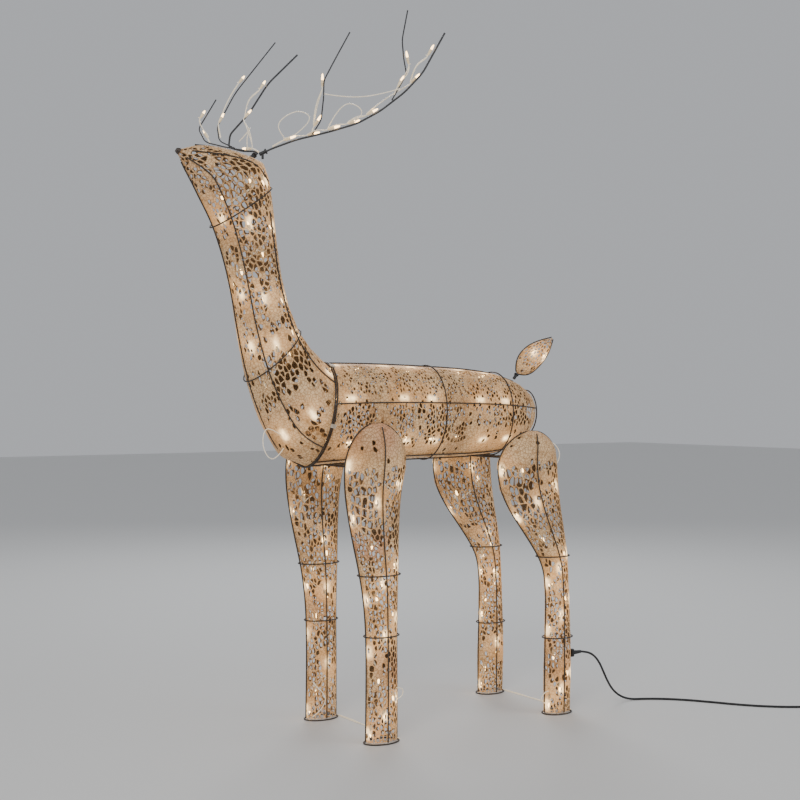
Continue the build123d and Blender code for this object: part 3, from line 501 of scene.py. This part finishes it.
class Skin:
    """A pod's surface as a grid that unrolls flat: even steps round each section, and a height along the
    pod that keeps shapes true."""

    def __init__(self, stations):
        length = np.concatenate(([0], np.cumsum([(t.centre - s.centre).length
                                                 for s, t in zip(stations, stations[1:])])))
        steps = np.linspace(0, length[-1], max(12, int(length[-1] / ALONG_STEP)))

        def column(values):
            values = np.array(values, float).reshape(len(stations), -1)
            fine = np.stack([np.interp(steps, length, v) for v in values.T], axis=1)
            for _ in range(3):
                fine[1:-1] = (fine[:-2] + 2 * fine[1:-1] + fine[2:]) / 4
            return fine

        centre = column([s.centre for s in stations])
        along = column([s.along for s in stations])
        across = column([s.across for s in stations])
        along /= np.linalg.norm(along, axis=1)[:, None]
        across /= np.linalg.norm(across, axis=1)[:, None]
        half_along = column([s.half_along for s in stations])[:, 0] - WEB_INSET
        half_across = column([s.half_across for s in stations])[:, 0] - WEB_INSET
        fine = np.linspace(0, 2 * np.pi, 361)
        self.points = np.zeros((len(steps), AROUND + 1, 3))
        self.angles = np.zeros((len(steps), AROUND + 1))
        girth = np.zeros(len(steps))
        for i in range(len(steps)):
            ring = (centre[i] + np.outer(np.cos(fine), along[i]) * half_along[i]
                    + np.outer(np.sin(fine), across[i]) * half_across[i])
            arc = np.concatenate(([0], np.cumsum(np.linalg.norm(np.diff(ring, axis=0), axis=1))))
            girth[i] = arc[-1]
            self.angles[i] = np.interp(np.linspace(0, arc[-1], AROUND + 1), arc, fine)
            self.points[i] = (centre[i] + np.outer(np.cos(self.angles[i]), along[i]) * half_along[i]
                              + np.outer(np.sin(self.angles[i]), across[i]) * half_across[i])
        down = np.gradient(self.points, axis=0)
        sideways = np.gradient(self.points, axis=1)
        sideways[:, 0] = sideways[:, -1] = (self.points[:, 1] - self.points[:, -2]) / 2
        self.normals = np.cross(down, sideways)
        self.normals /= np.linalg.norm(self.normals, axis=2)[:, :, None] + 1e-12
        if (self.normals * (self.points - centre[:, None])).sum() < 0:
            self.normals = -self.normals
        rise = np.linalg.norm(np.diff(self.points[:, :-1], axis=0), axis=2).mean(axis=1)
        self.axis = centre[-1] - centre[0]
        self.axis /= np.linalg.norm(self.axis)
        self.girth = girth
        self.width = girth.max()
        step_true = rise * self.width / ((girth[1:] + girth[:-1]) / 2)
        self.height = np.concatenate(([0], np.cumsum(step_true)))
        self.rise = np.concatenate(([0], np.cumsum(rise)))

    def rows(self, flat):
        """Grid row and column, as fractions, of flat places (round, along)."""
        row = np.interp(flat[:, 1], self.height, np.arange(len(self.height)))
        return row, (flat[:, 0] / self.width % 1.0) * AROUND

    def look_up(self, grid, flat):
        row, column = self.rows(flat)
        i = np.minimum(row.astype(int), len(self.height) - 2)
        j = np.minimum(column.astype(int), AROUND - 1)
        f = row - i
        g = column - j
        if grid.ndim == 3:
            f = f[:, None]
            g = g[:, None]
        return ((grid[i, j] * (1 - f) + grid[i + 1, j] * f) * (1 - g)
                + (grid[i, j + 1] * (1 - f) + grid[i + 1, j + 1] * f) * g)


def web_sites(skin, look, stretch, seed):
    """Cell centres scattered over the skin, each clear of the others by the spacing that its place asks for.
    A stretch over 1 makes room for cells that are longer along the pod."""
    rng = np.random.default_rng(seed)
    area = np.interp(np.linspace(0, 1, 400), np.linspace(0, 1, len(skin.girth)), skin.girth)
    total = skin.rise[-1] * skin.girth.mean()
    tries = int(total / (5.5 * MM * SPACING) ** 2 * 7)
    share = np.cumsum(area) / area.sum()
    place = np.interp(rng.random(tries), share, np.linspace(0, 1, 400))
    row = np.interp(place * skin.rise[-1], skin.rise, skin.height)
    flat = np.stack([rng.random(tries) * skin.width, row], axis=1)
    at_point = skin.look_up(skin.points, flat)
    angle = np.degrees(skin.look_up(skin.angles, flat))
    spacing = look(at_point, angle, place)[0] * SPACING
    at_point = (at_point + np.outer(at_point @ skin.axis, skin.axis) * (1 / stretch - 1)) * math.sqrt(stretch)
    cell = 5 * MM
    taken = {}
    kept = []
    keys = np.floor(at_point / cell).astype(int)
    reach = np.ceil(spacing / cell).astype(int)
    for n in range(tries):
        p = at_point[n]
        x, y, z = keys[n]
        r2 = spacing[n] ** 2
        m = reach[n]
        clear = True
        for i in range(x - m, x + m + 1):
            for j in range(y - m, y + m + 1):
                for k in range(z - m, z + m + 1):
                    for q in taken.get((i, j, k), ()):
                        if (q[0] - p[0]) ** 2 + (q[1] - p[1]) ** 2 + (q[2] - p[2]) ** 2 < r2:
                            clear = False
                            break
                    if not clear:
                        break
                if not clear:
                    break
            if not clear:
                break
        if clear:
            taken.setdefault((x, y, z), []).append(tuple(p))
            kept.append(n)
    return flat[kept]


def web_cells(skin, sites, stretch):
    """Rings of the cells' corners round the sites, and the corners' flat places. The sites are mirrored past
    the pod's ends, so that the rims come out straight, and repeated past the seam."""
    top = skin.height[-1]
    margin = 0.07 * skin.width
    count = len(sites)
    left = sites[sites[:, 0] < margin] + (skin.width, 0)
    right = sites[sites[:, 0] > skin.width - margin] - (skin.width, 0)
    wide = np.concatenate([sites, left, right])
    band = min(margin, 0.45 * top)
    low = wide[wide[:, 1] < band] * (1, -1)
    high = wide[wide[:, 1] > top - band] * (1, -1) + (0, 2 * top)
    every = np.concatenate([wide, low, high])
    scale = np.array((1, 1 / stretch)) / skin.width
    result = delaunay_2d_cdt([Vector(p) for p in (every * scale).tolist()], [], [], 0, 1e-9)
    places = np.array([tuple(v) for v in result[0]])
    origin = [ids[0] for ids in result[3]]
    triangles = np.array(result[2])
    a, b, c = (places[triangles[:, k]] for k in range(3))
    d = 2 * (a[:, 0] * (b[:, 1] - c[:, 1]) + b[:, 0] * (c[:, 1] - a[:, 1]) + c[:, 0] * (a[:, 1] - b[:, 1]))
    d = np.where(np.abs(d) < 1e-14, 1e-14, d)
    a2, b2, c2 = ((t ** 2).sum(axis=1) for t in (a, b, c))
    middle = np.stack([(a2 * (b[:, 1] - c[:, 1]) + b2 * (c[:, 1] - a[:, 1]) + c2 * (a[:, 1] - b[:, 1])) / d,
                       (a2 * (c[:, 0] - b[:, 0]) + b2 * (a[:, 0] - c[:, 0]) + c2 * (b[:, 0] - a[:, 0])) / d],
                      axis=1)
    middle /= scale
    middle[:, 1] = np.clip(middle[:, 1], 0, top)
    centroid = (a + b + c) / 3
    owner = np.array(origin)[triangles]
    rings = [[] for _ in range(count)]
    heading = np.arctan2(centroid[:, None, 1] - places[triangles][:, :, 1],
                         centroid[:, None, 0] - places[triangles][:, :, 0])
    for t in range(len(triangles)):
        for k in range(3):
            if owner[t, k] < count:
                rings[owner[t, k]].append((heading[t, k], t))
    return [[t for _, t in sorted(ring)] for ring in rings], middle


def web_skin(name, stations, look, stretch, lamps, seed, body, replaced, ruddy):
    """Threads round cells: lens-shaped strands with slits and holes between them, or a thin membrane."""
    skin = Skin(stations)
    sites = web_sites(skin, look, stretch, seed)
    rings, corners = web_cells(skin, sites, stretch)
    rng = np.random.default_rng(seed + 1)
    site_points = skin.look_up(skin.points, sites)
    site_angles = np.degrees(skin.look_up(skin.angles, sites))
    site_places = np.interp(sites[:, 1], skin.height, skin.rise / skin.rise[-1])
    _, open_share, half_thread = look(site_points, site_angles, site_places)
    is_open = rng.random(len(sites)) < open_share
    half_thread = half_thread * rng.uniform(0.75, 1.3, len(sites))
    flat = []
    index = {}

    def crest(p):
        key = (round(p[0] % skin.width * 1e6), round(p[1] * 1e6))
        if key not in index:
            index[key] = len(flat)
            flat.append(p)
        return index[key]

    shrink = skin.width / np.interp(corners[:, 1], skin.height, skin.girth)
    cell_rings = []
    for ring in rings:
        ids = []
        for t, u in zip(ring, ring[1:] + ring[:1]):
            if t == u:
                continue
            p, q = (corners[t], corners[u])
            parts = 1 + min(2, int(np.hypot(*(q - p)) / shrink[t] / (RUN * SPACING)))
            for k in range(parts):
                f = k / parts
                ids.append(crest(p * (1 - f) + q * f))
        cell_rings.append([i for n, i in enumerate(ids) if i != ids[n - 1]])
    flat = np.array(flat)
    crest_points = skin.look_up(skin.points, flat)
    crest_normals = skin.look_up(skin.normals, flat)
    crest_normals /= np.linalg.norm(crest_normals, axis=1)[:, None]
    lump = noise_at(crest_points, 900, seed + 2) * 0.22 * MM
    upper = crest_points + crest_normals * (THREAD_HALF_DEPTH + lump)[:, None]
    lower = crest_points - crest_normals * THREAD_HALF_DEPTH
    crests = len(flat)
    verts = [upper, lower]
    # painted shade: outer crests at full tone, inner crests dark
    painted_shade = [np.ones(crests), np.full(crests, INSIDE_PAINTED_SHADE)]
    next_id = 2 * crests
    faces = []
    for n, ring in enumerate(cell_rings):
        if len(ring) < 3:
            continue
        points = crest_points[ring]
        centre = points.mean(axis=0)
        reach = np.linalg.norm(points - centre, axis=1).min()
        size = len(ring)
        if is_open[n] and reach > half_thread[n] * 1.35:
            normal = crest_normals[ring].mean(axis=0)
            normal /= np.linalg.norm(normal)
            across = np.cross(normal, skin.axis)
            across /= np.linalg.norm(across) + 1e-9
            turn = rng.normal(0, 0.5) + (0 if stretch > 1 else math.pi / 2)
            narrow = across * math.cos(turn) + np.cross(normal, across) * math.sin(turn)
            offset = points - centre
            offset = offset - np.outer(offset @ narrow, narrow) * rng.uniform(0.0, 0.45)
            hole = centre + offset * (1 - half_thread[n] / reach)
            hole = (np.roll(hole, 1, axis=0) + 2.4 * hole + np.roll(hole, -1, axis=0)) / 4.4
            verts.append(hole)
            # hole rims in painted shade, between the lit outside and the dark inside
            painted_shade.append(np.full(size, HOLE_RIM_PAINTED_SHADE))
            for i in range(size):
                j = (i + 1) % size
                faces.append((ring[i], ring[j], next_id + j, next_id + i))
                faces.append((crests + ring[j], crests + ring[i], next_id + i, next_id + j))
            next_id += size
        else:
            # painted shade: a membrane's middle a random step darker than its threads, its inner side dark
            lift = crest_normals[ring[0]] * rng.uniform(-0.4, 0.6) * MM
            verts.append(np.stack([centre + lift, centre + lift - crest_normals[ring[0]] * 0.3 * MM]))
            painted_shade.append(np.array([rng.uniform(0.62, 0.95), INSIDE_PAINTED_SHADE]))
            for i in range(size):
                j = (i + 1) % size
                faces.append((ring[i], ring[j], next_id))
                faces.append((crests + ring[j], crests + ring[i], next_id + 1))
            next_id += 2
    verts = np.concatenate(verts)
    obj = mesh_piece(name, verts.tolist(), faces, "web_skin", body)
    tint_web(obj.data, verts, np.concatenate(painted_shade), lamps, seed, ruddy)
    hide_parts(replaced)


PALE = np.array((0.82, 0.58, 0.33))
BROWN = np.array((0.46, 0.25, 0.11))
RUDDY = np.array((0.60, 0.27, 0.17))
# painted light: emission given to the web for the lamps' bright spots, their amber halo and an even warm
# light from inside
PAINTED_SPOT_LIGHT = np.array((1.0, 0.74, 0.40)) * 12.0
PAINTED_HALO_LIGHT = np.array((1.0, 0.48, 0.15)) * 0.48
PAINTED_INNER_LIGHT = np.array((0.16, 0.085, 0.030))
SPOT_R = 6.0 * MM                        # reach of a lamp's bright spot in the web
HALO_R = 30 * MM                         # reach of the painted amber light round it
LENS_SPAN = (9 * MM, 21 * MM)            # part of a lamp's axis that shines


def tint_web(mesh, verts, painted_shade, lamps, seed, ruddy):
    """Vertex colours: the threads' own tan darkened by painted shade inside and at the hole rims, and the
    light that soaks through them near each lamp.
    """
    mix = np.clip(0.26 + 0.35 * noise_at(verts, 70, seed + 3) + 0.25 * noise_at(verts, 320, seed + 4), 0, 1)
    red = np.clip(noise_at(verts, 45, seed + 5) - 0.35, 0, 0.8) * ruddy
    colour = PALE * (1 - mix)[:, None] + BROWN * mix[:, None]
    colour = colour * (1 - red)[:, None] + RUDDY * red[:, None]
    # the tan darkened by the painted shade
    colour *= painted_shade[:, None]
    near = np.zeros(len(verts))
    wide = np.zeros(len(verts))
    for base, axis in lamps:
        a = np.array(base)
        d = np.array(axis)
        t = np.clip((verts - a) @ d, *LENS_SPAN)
        distance2 = ((verts - a - t[:, None] * d) ** 2).sum(axis=1)
        near += np.exp(-distance2 / SPOT_R ** 2)
        wide += np.exp(-distance2 / HALO_R ** 2)
    glow = (np.minimum(near, 1.2)[:, None] * PAINTED_SPOT_LIGHT + np.minimum(wide, 2.0)[:, None] * PAINTED_HALO_LIGHT + PAINTED_INNER_LIGHT)
    # the painted light dimmed by the painted shade, and nearly none on the web's inner side
    glow *= np.where(painted_shade > INSIDE_PAINTED_SHADE, painted_shade, 0.05)[:, None]
    for label, values in (("Tint", colour), ("Glow", glow)):
        layer = mesh.color_attributes.new(label, "FLOAT_COLOR", "POINT")
        layer.data.foreach_set("color", np.concatenate([values, np.ones((len(values), 1))], axis=1).ravel())


def around(angles):
    """Degrees from the pod's top or front, 0 to 180, whichever side."""
    return np.abs((angles + 180) % 360 - 180)


def torso_look(points, angles, places):
    """Spacing of the cells, the share of them that are open and the threads' half width: fine on the back,
    slits along the flanks, and nearly plain below."""
    side = around(angles)
    patch = noise_at(points, 60, 11)
    spacing = np.where(side < 74, 6.6, 7.8) * MM
    share = np.select([side < 16, side < 72, side < 80, side < 132], [0.08, 0.66, 0.20, 0.92], 0.06)
    share = np.where((side >= 80) & (patch < -0.6), share * 0.4, share)
    share = np.where((side > 108) & (places > 0.55), share * 0.15, share)
    share = np.where((places > 0.9) | (places < 0.04), share * 0.3, share)
    half = np.where(side < 74, 1.3, 0.85) * MM
    return spacing, share, half


PLAIN_OVER = 572 * MM                    # a leg's rounded top is plain above this height
PANEL_OVER = 440 * MM                    # below it, down to this height, its front has large cells


def leg_look(points, angles, places):
    side = around(angles)
    top = points[:, 2] > PLAIN_OVER
    panel = (side > 22) & (side < 84) & (points[:, 2] > PANEL_OVER) & ~top
    patch = noise_at(points, 55, 21)
    spacing = np.where(panel, 13.0, 8.4) * MM
    share = np.select([side < 15, side > 165, np.abs(side - 90) < 5], [0.15, 0.15, 0.45], 0.94)
    share = np.where(patch < -0.55, share * 0.45, share)
    share = np.where(panel, 0.97, share)
    share = np.where(top, 0.05, share)
    half = np.where(panel, 0.8, 0.7) * MM
    return spacing, share, half


def neck_look(points, angles, places):
    """An open net, with larger cells along its sides and at the temples."""
    side = around(angles)
    patch = noise_at(points, 60, 31)
    middle = (side > 58) & (side < 124)
    spacing = np.where(middle, 10.2, 7.6) * MM
    share = np.where(middle, 0.92, 0.66)
    share = np.where((side < 16) | (side > 164), 0.10, share)
    share = np.where(places < 0.16, share * 0.30, share)
    share = np.where(patch < -0.7, share * 0.5, share)
    head = places > 0.80
    share = np.where(head & (side < 45), 0.10, share)
    share = np.where(head & (side >= 45), 0.66, share)
    temple = (side > 52) & (side < 132) & (places > 0.70) & (places < 0.86)
    spacing = np.where(temple, 11.5 * MM, spacing)
    share = np.where(temple, 0.96, share)
    return spacing, share, np.where(head & ~temple, 0.95, 0.75) * MM


def tail_look(points, angles, places):
    side = around(angles)
    share = np.where((side < 18) | (side > 162), 0.3, 0.95)
    share = np.where(places < 0.22, 0.25, share)
    return np.full(len(points), 7.2 * MM), share, np.full(len(points), 0.6 * MM)


web_skin("web_torso", TORSO, torso_look, 0.72, LAMPS["torso"], 1, "torso", "torso_skin", 0.2)
web_skin("web_neck_head", NECK, neck_look, 1.35, LAMPS["neck"], 2, "neck_head", "neck_head_skin", 0.2)
web_skin("web_tail", TAIL, tail_look, 1.7, LAMPS["tail"], 3, "tail", "tail_skin", 0.2)
for number, (name, stations) in enumerate(LEGS.items()):
    group = name.split("_")[0] + "_legs"
    web_skin("web_leg_" + name, stations, leg_look, 1.45, LAMPS[group], 10 + 7 * number, group,
             "leg_skin_" + name, 1.0 if name == "front_left" else 0.4)


# ---------------------------------------------------------------- frame wires, tight against the web
RIB_GAP = 0.9 * MM       # from the sections' rims
HOOP_GAP = 2.9 * MM      # hoops stand outside the ribs
RING_GAP = 2.1 * MM
WIRE_R = 1.5 * MM
RING_R = 1.7 * MM
HOOP_POINTS = 20


def hoop_line(station, gap):
    """Control points of a closed hoop; they stand a little wide because the spline cuts inside them."""
    widen = 1 / (0.75 + 0.25 * math.cos(2 * math.pi / HOOP_POINTS))
    wide = Station(station.centre, station.along, (station.half_along + gap) * widen,
                   station.across, (station.half_across + gap) * widen)
    return [wide.rim(360 * i / HOOP_POINTS, 0) for i in range(HOOP_POINTS)]


def closed_wires(name, lines, radius, body):
    return nurbs(name, lines, radius, body, "frame_wire", (), closed=True)


# each rib is an angle round the sections, and how many sections it passes
NECK_RIBS = ((0, 13), (52, 8), (128, 13), (180, 13), (-52, 8), (-128, 13))
# each cheek wire's point is a section's number and an angle round it
CHEEK = ((12, 84), (11, 76), (10, 62), (9, 47), (8, 38))
THROAT = sagittal_station((-433, 1152), (-560, 1063), 48)
TORSO_RIBS = ((0, 7), (78, 8), (180, 8), (-78, 8), (155, 8), (-155, 8))


def rib_lines(stations, ribs):
    return [[s.rim(angle, RIB_GAP) for s in stations[:count]] for angle, count in ribs]


neck_lines = rib_lines(NECK, NECK_RIBS)
neck_lines += [[NECK[place].rim(side * angle, RIB_GAP) for place, angle in CHEEK] for side in (1, -1)]
nurbs("frame_neck_head", neck_lines, WIRE_R, "neck_head", "frame_wire", ("neck_head_frame",))
closed_wires("hoops_neck", [hoop_line(NECK[3], HOOP_GAP), hoop_line(THROAT, HOOP_GAP)], WIRE_R, "neck_head")
closed_wires("ring_neck", [hoop_line(NECK[0], RING_GAP)], RING_R, "neck_head")
nurbs("frame_torso", rib_lines(TORSO, TORSO_RIBS), WIRE_R, "torso", "frame_wire", ("torso_frame",))
closed_wires("hoops_torso", [hoop_line(TORSO[i], HOOP_GAP) for i in (3, 5, 7)], WIRE_R, "torso")
closed_wires("ring_torso", [hoop_line(TORSO[0], RING_GAP)], RING_R, "torso")
nurbs("frame_tail", rib_lines(TAIL, ((0, 6), (180, 6))), WIRE_R, "tail", "frame_wire", ("tail_frame",))
for name, stations in LEGS.items():
    end = name.split("_")[0]
    foot = Station(Vector((stations[0].centre.x, stations[0].centre.y, WIRE_R)), stations[0].along,
                   stations[0].half_along, stations[0].across, stations[0].half_across)
    body_stations = [Station(foot.centre + Vector((0, 0, 3 * MM)), foot.along, foot.half_along, foot.across,
                             foot.half_across)] + stations[1:]
    arch = [s.rim(0, RIB_GAP) for s in body_stations] + [s.rim(180, RIB_GAP) for s in reversed(body_stations)]
    sides = [[s.rim(angle, RIB_GAP) for s in body_stations[:-1]] for angle in (90, -90)]
    nurbs("frame_leg_" + name, [arch] + sides, WIRE_R, end + "_legs", "frame_wire", ("leg_frame_" + name,))
    hoops = [hoop_line(stations[i], HOOP_GAP) for i in ((2, 4) if end == "front" else (2, 5))]
    closed_wires("hoops_leg_" + name, hoops + [hoop_line(foot, RING_GAP)], WIRE_R, end + "_legs")


# ---------------------------------------------------------------- light string: twin wires from lamp to lamp
STRAND_R = 1.0 * MM
rng = random.Random(5)


def nudged(p, size):
    return p + Vector((rng.uniform(-size, size), rng.uniform(-size, size), rng.uniform(-size, size)))


def pod_string(stations, turns):
    """Two strands that run behind the lamps, weaving about each other between them."""
    first = []
    second = []
    for place, column, _ in turns:
        here = along_pod(stations, place).rim(column, STRING_INSET)
        if first:
            for f in (0.33, 0.66):
                middle = first[-1].lerp(here, f)
                first.append(nudged(middle, 2.0 * MM))
                second.append(nudged(middle, 2.0 * MM))
        first.append(nudged(here, 0.7 * MM))
        second.append(nudged(here, 0.7 * MM))
    return [first, second]


SLACK_LOOPS = {
    "neck": [[(30, -420, 640), (44, -452, 655), (55, -472.7, 651), (56, -477.3, 621), (54, -463.6, 594),
              (45, -440, 590), (32, -415, 612)]],
    "rear_legs": [[(118, 200, 590), (114, 219, 612), (110, 236, 617), (110, 254, 606), (110, 264, 586),
                   (110, 252, 562), (114, 224, 556), (118, 200, 566)],
                  [(118, 222, 36), (133, 214, 52), (140, 196, 56), (138, 184, 44), (134, 188, 30),
                   (124, 210, 24)]],
    "front_legs": [[(-104, -268, 88), (-98, -262, 78), (-94, -244, 60), (-95, -240, 42), (-99, -256, 20),
                    (-106, -268, 10)],
                   [(136, -206, 112), (132, -190, 109), (128, -182, 102), (130, -186, 90), (138, -204, 88)]]}
for name, pods in POD_STRINGS.items():
    lines = [line for stations, turns in pods for line in pod_string(stations, turns)]
    lines += [[at(*p) for p in loop] for loop in SLACK_LOOPS.get(name, [])]
    nurbs("string_" + name, lines, STRAND_R, GROUP_BODY[name], "string_pvc", ("string_wire_" + name,))

JUMPER_R = 0.9 * MM
JUMPER_ENDS = (-1, -0.82, -0.5, -0.2, 0.15, 0.5, 0.8, 1)      # from foot to foot, in half tracks
JUMPER_SWAY = (0, 0.6, 2.4, -1.6, 2.0, -2.2, 0.8, 0)          # mm off the straight
for end, profile in (("front", FRONT_LEG_PROFILE), ("rear", REAR_LEG_PROFILE)):
    back = profile[0][1] + profile[0][2] + 4.7
    lines = []
    for strand in (0, 1):
        lines.append([at(HALF_TRACK * e, back + strand * 2.0 + 1.0 + w * (1 if strand else -0.4), 1.3)
                      for e, w in zip(JUMPER_ENDS, JUMPER_SWAY)])
    nurbs("jumper_" + end, lines, JUMPER_R, end + "_legs", "string_pvc", ("foot_jumper_" + end,))


def antler_string(wires, lamps, loops):
    """Twin strands along each antler wire, slack between the lamps, with a turn to each lamp's base."""
    lines = []
    for w, wire in enumerate(wires):
        mine = [(f, turn) for i, f, turn in lamps if i == w]
        for strand in (0, 1):
            line = []
            last = None
            for f, turn in mine:
                base, course = beside_route(wire, f, turn, LAMP_STAND_OFF)
                place, _ = beside_route(wire, f, turn, 0)
                away = (base - place).normalized()
                if last is None:
                    low = max(f - 0.10, 0.06 if w == 0 else 0.01)
                    line.append(beside_route(wire, low, turn, 3.2 * MM + strand * 1.6 * MM)[0])
                else:
                    slack = (last + base) / 2 + away * rng.uniform(5, 11) * MM
                    line.append(nudged(slack, 3 * MM))
                line.append(base - course * (9 * MM) + away * (1.0 * strand - 0.5) * 2 * MM)
                line.append(base - course * (1.5 * MM) + away * (0.5 - strand) * 1.6 * MM)
                line.append(base - course * (4 * MM) + away * ((2.5 + 2 * strand) * MM))
                last = base
            lines.append(line)
    return lines + [[at(*p) for p in loop] for loop in loops]


ANTLER_LOOPS = {
    "left": [[(52, -418, 1243), (60, -446, 1262), (64, -440, 1284), (80, -410, 1303), (96, -390, 1293),
              (92, -388, 1280), (75, -400, 1262), (62, -410, 1252)],
             [(100, -350, 1268), (112, -338, 1300), (126, -318, 1322), (140, -296, 1312), (138, -288, 1296),
              (124, -300, 1284)],
             [(124, -374, 1332), (142, -330, 1326), (162, -270, 1334), (176, -222, 1352)]],
    "right": [[(-70, -446, 1242), (-88, -440, 1262), (-98, -430, 1288), (-106, -420, 1300),
               (-112, -428, 1284), (-110, -446, 1266)]]}
for name, wires in ANTLERS.items():
    lines = antler_string(wires, ANTLER_LAMPS[name], ANTLER_LOOPS[name])
    nurbs("string_antler_" + name, lines, STRAND_R, "antler_" + name, "string_pvc",
          ("string_wire_antler_" + name,))


# ---------------------------------------------------------------- floor and lights
FLOOR = 14.0             # half the floor's side
floor_mesh = bpy.data.meshes.new("floor")
floor_mesh.from_pydata([(x * FLOOR, y * FLOOR, 0) for x, y in ((-1, -1), (1, -1), (1, 1), (-1, 1))], [],
                       [(0, 1, 2, 3)])
floor = bpy.data.objects.new("floor", floor_mesh)
floor_mesh.materials.append(principled("pale_floor", (0.72, 0.72, 0.71), 0.75)[0])
bpy.context.collection.objects.link(floor)

world = bpy.data.worlds.new("studio")
bpy.context.scene.world = world
world.use_nodes = True
world.node_tree.nodes["Background"].inputs["Color"].default_value = (0.80, 0.82, 0.86, 1)
world.node_tree.nodes["Background"].inputs["Strength"].default_value = 0.58


def softbox(name, place, aim, size, power, colour):
    data = bpy.data.lights.new(name, "AREA")
    data.shape = "RECTANGLE"
    data.size = size
    data.size_y = size
    data.energy = power
    data.color = colour
    obj = bpy.data.objects.new(name, data)
    obj.location = place
    obj.rotation_euler = (Vector(aim) - Vector(place)).to_track_quat("-Z", "Y").to_euler()
    bpy.context.collection.objects.link(obj)


softbox("key", (2.6, -2.6, 3.0), (0, 0, 0.7), 1.8, 60, (1.0, 0.97, 0.92))
softbox("fill", (2.8, 2.4, 1.8), (0, 0, 0.7), 2.2, 22, (0.92, 0.96, 1.0))
softbox("back", (-2.6, 1.6, 2.8), (0, 0, 0.8), 1.6, 45, (0.96, 0.98, 1.0))

bpy.context.view_layer.update()
